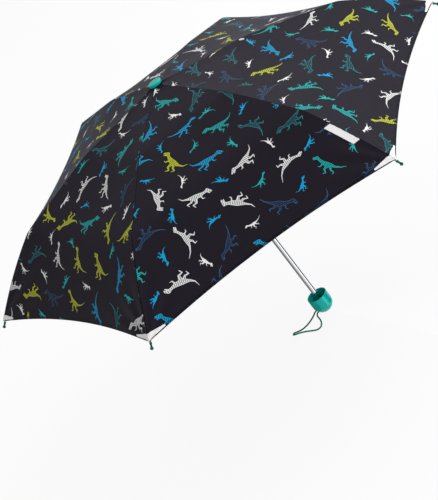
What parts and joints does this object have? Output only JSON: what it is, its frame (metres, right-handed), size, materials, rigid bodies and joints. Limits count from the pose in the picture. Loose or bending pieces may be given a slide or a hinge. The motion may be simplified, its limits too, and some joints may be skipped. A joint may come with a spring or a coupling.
{
  "type": "children's folding umbrella",
  "caption": "Open children's folding umbrella: printed dark canopy, folding ribs, telescopic steel shaft, teal cup handle, wrist cord and rib tips.",
  "frame": {"origin": "on the shaft's axis, at the lowest point of the handle", "axes": "+Z along the shaft from the handle to the ferrule; rib 0 lies over +X"},
  "size_m": [0.9256, 0.8024, 0.5411],
  "materials": {
    "handle_plastic": "smooth teal moulding",
    "cap_plastic": "smooth teal moulding",
    "tip_plastic": "smooth teal moulding",
    "inner_plastic": "black moulding",
    "runner_plastic": "black moulding",
    "button_plastic": "teal moulding",
    "shaft_steel": "bright plated tube",
    "rib_steel": "plated pressed strip",
    "wire_steel": "plain wire and rivets",
    "canopy_cloth": "printed woven polyester",
    "tab_cloth": "plain woven tape",
    "strap_cord": "braided cord"
  },
  "bodies": {
    "handle": {"handle_cup": "handle_plastic", "handle_bush": "inner_plastic", "handle_pin": "wire_steel", "strap_knot": "strap_cord", "strap_cord": "strap_cord", "lower_tube": "shaft_steel"},
    "middle_section": {"middle_tube": "shaft_steel"},
    "top_section": {"upper_tube": "shaft_steel", "crown": "inner_plastic", "crown_wire": "wire_steel", "ferrule_cap": "cap_plastic", "canopy": "canopy_cloth"},
    "runner": {"runner": "runner_plastic", "runner_pins": "wire_steel"},
    "release_button": {"release_button": "button_plastic"},
    "inner_rib_0": {"inner_rib_0": "rib_steel", "rib_rivets_0": "wire_steel"},
    "stretcher_0": {"stretcher_0": "rib_steel"},
    "tie_wire_0": {"tie_wire_0": "wire_steel"},
    "middle_rib_0": {"middle_rib_0": "rib_steel"},
    "outer_rib_0": {"outer_rib_0": "rib_steel", "rib_tip_0": "tip_plastic"},
    "inner_rib_1": {"inner_rib_1": "rib_steel", "rib_rivets_1": "wire_steel"},
    "stretcher_1": {"stretcher_1": "rib_steel"},
    "tie_wire_1": {"tie_wire_1": "wire_steel"},
    "middle_rib_1": {"middle_rib_1": "rib_steel"},
    "outer_rib_1": {"outer_rib_1": "rib_steel", "rib_tip_1": "tip_plastic"},
    "inner_rib_2": {"inner_rib_2": "rib_steel", "rib_rivets_2": "wire_steel"},
    "stretcher_2": {"stretcher_2": "rib_steel"},
    "tie_wire_2": {"tie_wire_2": "wire_steel"},
    "middle_rib_2": {"middle_rib_2": "rib_steel"},
    "outer_rib_2": {"outer_rib_2": "rib_steel", "rib_tip_2": "tip_plastic"},
    "inner_rib_3": {"inner_rib_3": "rib_steel", "rib_rivets_3": "wire_steel"},
    "stretcher_3": {"stretcher_3": "rib_steel"},
    "tie_wire_3": {"tie_wire_3": "wire_steel"},
    "middle_rib_3": {"middle_rib_3": "rib_steel"},
    "outer_rib_3": {"outer_rib_3": "rib_steel", "rib_tip_3": "tip_plastic"},
    "inner_rib_4": {"inner_rib_4": "rib_steel", "rib_rivets_4": "wire_steel"},
    "stretcher_4": {"stretcher_4": "rib_steel"},
    "tie_wire_4": {"tie_wire_4": "wire_steel"},
    "middle_rib_4": {"middle_rib_4": "rib_steel"},
    "outer_rib_4": {"outer_rib_4": "rib_steel", "rib_tip_4": "tip_plastic"},
    "inner_rib_5": {"inner_rib_5": "rib_steel", "rib_rivets_5": "wire_steel"},
    "stretcher_5": {"stretcher_5": "rib_steel"},
    "tie_wire_5": {"tie_wire_5": "wire_steel"},
    "middle_rib_5": {"middle_rib_5": "rib_steel"},
    "outer_rib_5": {"outer_rib_5": "rib_steel", "rib_tip_5": "tip_plastic", "closure_tab": "tab_cloth"}
  },
  "joints": [
    {"name": "middle_draw", "type": "slide", "parent": "handle", "child": "middle_section", "axis": [0, 0, 1], "range_m": [-0.165, 0]},
    {"name": "upper_draw", "type": "slide", "parent": "middle_section", "child": "top_section", "axis": [0, 0, 1], "range_m": [-0.165, 0]},
    {"name": "runner_slide", "type": "slide", "parent": "top_section", "child": "runner", "axis": [0, 0, 1], "range_m": [-0.0988, 0], "deforming": ["canopy"]},
    {"name": "button_press", "type": "slide", "parent": "runner", "child": "release_button", "axis": [-0.866, -0.5, 0], "range_m": [0, 0.001], "stiffness_N_per_m": 1500, "springref_m": -0.001},
    {"name": "crown_pivot_0", "type": "hinge", "parent": "top_section", "child": "inner_rib_0", "pos_m": [0.01, 0, 0.531], "axis": [0, -1, 0], "range_deg": [-80.71, 0]},
    {"name": "stretcher_pivot_0", "type": "hinge", "parent": "inner_rib_0", "child": "stretcher_0", "pos_m": [0.07914, 0, 0.52005], "axis": [0, -1, 0], "range_deg": [0, 140.24]},
    {"name": "tie_pivot_0", "type": "hinge", "parent": "stretcher_0", "child": "tie_wire_0", "pos_m": [0.08052, 0, 0.51497], "axis": [0, -1, 0], "range_deg": [-142.32, 0]},
    {"name": "elbow_0", "type": "hinge", "parent": "inner_rib_0", "child": "middle_rib_0", "pos_m": [0.16803, 0, 0.50597], "axis": [0, -1, 0], "range_deg": [0, 186.5]},
    {"name": "knee_0", "type": "hinge", "parent": "middle_rib_0", "child": "outer_rib_0", "pos_m": [0.32104, 0, 0.45919], "axis": [0, -1, 0], "range_deg": [-157.39, 0]},
    {"name": "crown_pivot_1", "type": "hinge", "parent": "top_section", "child": "inner_rib_1", "pos_m": [0.005, 0.00866, 0.531], "axis": [0.866, -0.5, 0], "range_deg": [-80.71, 0]},
    {"name": "stretcher_pivot_1", "type": "hinge", "parent": "inner_rib_1", "child": "stretcher_1", "pos_m": [0.03957, 0.06854, 0.52005], "axis": [0.866, -0.5, 0], "range_deg": [0, 140.24]},
    {"name": "tie_pivot_1", "type": "hinge", "parent": "stretcher_1", "child": "tie_wire_1", "pos_m": [0.04026, 0.06973, 0.51497], "axis": [0.866, -0.5, 0], "range_deg": [-142.32, 0]},
    {"name": "elbow_1", "type": "hinge", "parent": "inner_rib_1", "child": "middle_rib_1", "pos_m": [0.08402, 0.14552, 0.50597], "axis": [0.866, -0.5, 0], "range_deg": [0, 186.5]},
    {"name": "knee_1", "type": "hinge", "parent": "middle_rib_1", "child": "outer_rib_1", "pos_m": [0.16052, 0.27803, 0.45919], "axis": [0.866, -0.5, 0], "range_deg": [-157.39, 0]},
    {"name": "crown_pivot_2", "type": "hinge", "parent": "top_section", "child": "inner_rib_2", "pos_m": [-0.005, 0.00866, 0.531], "axis": [0.866, 0.5, 0], "range_deg": [-80.71, 0]},
    {"name": "stretcher_pivot_2", "type": "hinge", "parent": "inner_rib_2", "child": "stretcher_2", "pos_m": [-0.03957, 0.06854, 0.52005], "axis": [0.866, 0.5, 0], "range_deg": [0, 140.24]},
    {"name": "tie_pivot_2", "type": "hinge", "parent": "stretcher_2", "child": "tie_wire_2", "pos_m": [-0.04026, 0.06973, 0.51497], "axis": [0.866, 0.5, 0], "range_deg": [-142.32, 0]},
    {"name": "elbow_2", "type": "hinge", "parent": "inner_rib_2", "child": "middle_rib_2", "pos_m": [-0.08402, 0.14552, 0.50597], "axis": [0.866, 0.5, 0], "range_deg": [0, 186.5]},
    {"name": "knee_2", "type": "hinge", "parent": "middle_rib_2", "child": "outer_rib_2", "pos_m": [-0.16052, 0.27803, 0.45919], "axis": [0.866, 0.5, 0], "range_deg": [-157.39, 0]},
    {"name": "crown_pivot_3", "type": "hinge", "parent": "top_section", "child": "inner_rib_3", "pos_m": [-0.01, 0, 0.531], "axis": [0, 1, 0], "range_deg": [-80.71, 0]},
    {"name": "stretcher_pivot_3", "type": "hinge", "parent": "inner_rib_3", "child": "stretcher_3", "pos_m": [-0.07914, 0, 0.52005], "axis": [0, 1, 0], "range_deg": [0, 140.24]},
    {"name": "tie_pivot_3", "type": "hinge", "parent": "stretcher_3", "child": "tie_wire_3", "pos_m": [-0.08052, 0, 0.51497], "axis": [0, 1, 0], "range_deg": [-142.32, 0]},
    {"name": "elbow_3", "type": "hinge", "parent": "inner_rib_3", "child": "middle_rib_3", "pos_m": [-0.16803, 0, 0.50597], "axis": [0, 1, 0], "range_deg": [0, 186.5]},
    {"name": "knee_3", "type": "hinge", "parent": "middle_rib_3", "child": "outer_rib_3", "pos_m": [-0.32104, 0, 0.45919], "axis": [0, 1, 0], "range_deg": [-157.39, 0]},
    {"name": "crown_pivot_4", "type": "hinge", "parent": "top_section", "child": "inner_rib_4", "pos_m": [-0.005, -0.00866, 0.531], "axis": [-0.866, 0.5, 0], "range_deg": [-80.71, 0]},
    {"name": "stretcher_pivot_4", "type": "hinge", "parent": "inner_rib_4", "child": "stretcher_4", "pos_m": [-0.03957, -0.06854, 0.52005], "axis": [-0.866, 0.5, 0], "range_deg": [0, 140.24]},
    {"name": "tie_pivot_4", "type": "hinge", "parent": "stretcher_4", "child": "tie_wire_4", "pos_m": [-0.04026, -0.06973, 0.51497], "axis": [-0.866, 0.5, 0], "range_deg": [-142.32, 0]},
    {"name": "elbow_4", "type": "hinge", "parent": "inner_rib_4", "child": "middle_rib_4", "pos_m": [-0.08402, -0.14552, 0.50597], "axis": [-0.866, 0.5, 0], "range_deg": [0, 186.5]},
    {"name": "knee_4", "type": "hinge", "parent": "middle_rib_4", "child": "outer_rib_4", "pos_m": [-0.16052, -0.27803, 0.45919], "axis": [-0.866, 0.5, 0], "range_deg": [-157.39, 0]},
    {"name": "crown_pivot_5", "type": "hinge", "parent": "top_section", "child": "inner_rib_5", "pos_m": [0.005, -0.00866, 0.531], "axis": [-0.866, -0.5, 0], "range_deg": [-80.71, 0]},
    {"name": "stretcher_pivot_5", "type": "hinge", "parent": "inner_rib_5", "child": "stretcher_5", "pos_m": [0.03957, -0.06854, 0.52005], "axis": [-0.866, -0.5, 0], "range_deg": [0, 140.24]},
    {"name": "tie_pivot_5", "type": "hinge", "parent": "stretcher_5", "child": "tie_wire_5", "pos_m": [0.04026, -0.06973, 0.51497], "axis": [-0.866, -0.5, 0], "range_deg": [-142.32, 0]},
    {"name": "elbow_5", "type": "hinge", "parent": "inner_rib_5", "child": "middle_rib_5", "pos_m": [0.08402, -0.14552, 0.50597], "axis": [-0.866, -0.5, 0], "range_deg": [0, 186.5]},
    {"name": "knee_5", "type": "hinge", "parent": "middle_rib_5", "child": "outer_rib_5", "pos_m": [0.16052, -0.27803, 0.45919], "axis": [-0.866, -0.5, 0], "range_deg": [-157.39, 0]}
  ],
  "couplings": [
    {"joint": "crown_pivot_0", "follows": "runner_slide", "rad_per_m": 14.256},
    {"joint": "stretcher_pivot_0", "follows": "runner_slide", "rad_per_m": -24.772},
    {"joint": "tie_pivot_0", "follows": "runner_slide", "rad_per_m": 25.14},
    {"joint": "elbow_0", "follows": "runner_slide", "rad_per_m": -32.945},
    {"joint": "knee_0", "follows": "runner_slide", "rad_per_m": 27.802},
    {"joint": "crown_pivot_1", "follows": "runner_slide", "rad_per_m": 14.256},
    {"joint": "stretcher_pivot_1", "follows": "runner_slide", "rad_per_m": -24.772},
    {"joint": "tie_pivot_1", "follows": "runner_slide", "rad_per_m": 25.14},
    {"joint": "elbow_1", "follows": "runner_slide", "rad_per_m": -32.945},
    {"joint": "knee_1", "follows": "runner_slide", "rad_per_m": 27.802},
    {"joint": "crown_pivot_2", "follows": "runner_slide", "rad_per_m": 14.256},
    {"joint": "stretcher_pivot_2", "follows": "runner_slide", "rad_per_m": -24.772},
    {"joint": "tie_pivot_2", "follows": "runner_slide", "rad_per_m": 25.14},
    {"joint": "elbow_2", "follows": "runner_slide", "rad_per_m": -32.945},
    {"joint": "knee_2", "follows": "runner_slide", "rad_per_m": 27.802},
    {"joint": "crown_pivot_3", "follows": "runner_slide", "rad_per_m": 14.256},
    {"joint": "stretcher_pivot_3", "follows": "runner_slide", "rad_per_m": -24.772},
    {"joint": "tie_pivot_3", "follows": "runner_slide", "rad_per_m": 25.14},
    {"joint": "elbow_3", "follows": "runner_slide", "rad_per_m": -32.945},
    {"joint": "knee_3", "follows": "runner_slide", "rad_per_m": 27.802},
    {"joint": "crown_pivot_4", "follows": "runner_slide", "rad_per_m": 14.256},
    {"joint": "stretcher_pivot_4", "follows": "runner_slide", "rad_per_m": -24.772},
    {"joint": "tie_pivot_4", "follows": "runner_slide", "rad_per_m": 25.14},
    {"joint": "elbow_4", "follows": "runner_slide", "rad_per_m": -32.945},
    {"joint": "knee_4", "follows": "runner_slide", "rad_per_m": 27.802},
    {"joint": "crown_pivot_5", "follows": "runner_slide", "rad_per_m": 14.256},
    {"joint": "stretcher_pivot_5", "follows": "runner_slide", "rad_per_m": -24.772},
    {"joint": "tie_pivot_5", "follows": "runner_slide", "rad_per_m": 25.14},
    {"joint": "elbow_5", "follows": "runner_slide", "rad_per_m": -32.945},
    {"joint": "knee_5", "follows": "runner_slide", "rad_per_m": 27.802}
  ]
}
